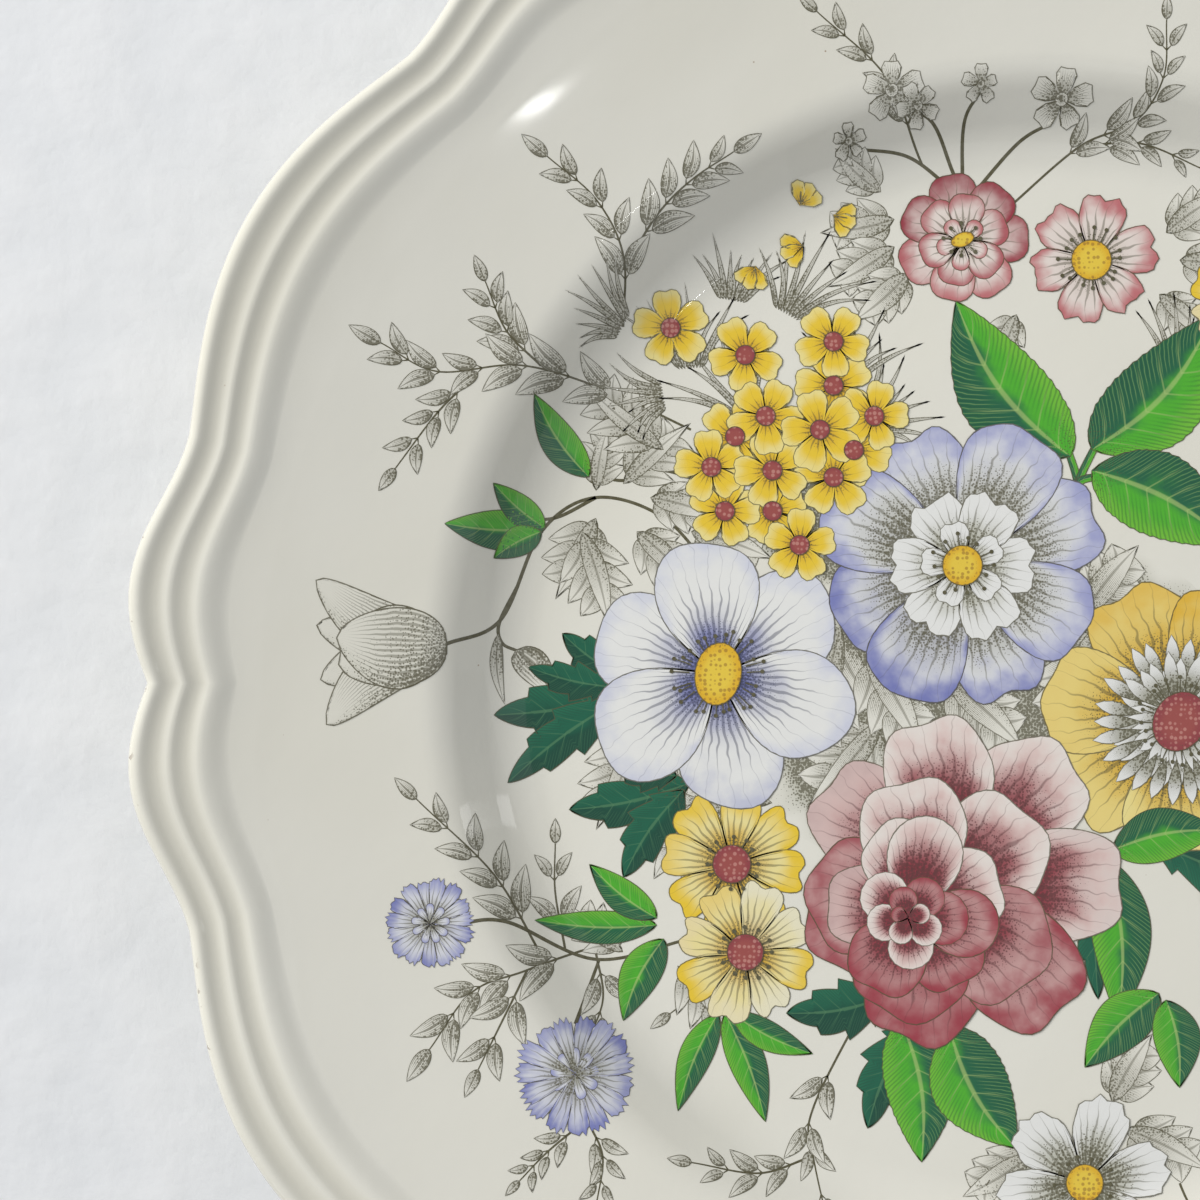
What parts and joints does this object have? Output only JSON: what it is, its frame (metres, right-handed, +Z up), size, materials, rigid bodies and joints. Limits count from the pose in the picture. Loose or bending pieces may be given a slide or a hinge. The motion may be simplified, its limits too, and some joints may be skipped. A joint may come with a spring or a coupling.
{
  "type": "dinner plate",
  "caption": "Round dinner plate with a scalloped, ridged rim, a flat well on a foot ring and a painted bouquet of garden flowers.",
  "frame": {"origin": "centre of the circle that the foot ring stands on, at table height", "axes": "+Z up through the middle of the plate; +Y towards the top of the painted bouquet, +X to its right"},
  "size_m": [0.2656, 0.2676, 0.0251],
  "materials": {
    "clay": "matt",
    "glaze": "gloss",
    "sepia_print": "gloss",
    "green_enamel": "gloss",
    "pink_enamel": "gloss",
    "yellow_enamel": "gloss",
    "blue_enamel": "gloss",
    "white_enamel": "gloss",
    "crimson_enamel": "gloss"
  },
  "bodies": {
    "root": {"earthenware_body": "clay", "outer_glaze": "glaze", "footwell_glaze": "glaze", "sepia_print": "sepia_print", "green_enamel": "green_enamel", "pink_enamel": "pink_enamel", "yellow_enamel": "yellow_enamel", "blue_enamel": "blue_enamel", "white_enamel": "white_enamel", "crimson_enamel": "crimson_enamel"}
  },
  "joints": []
}
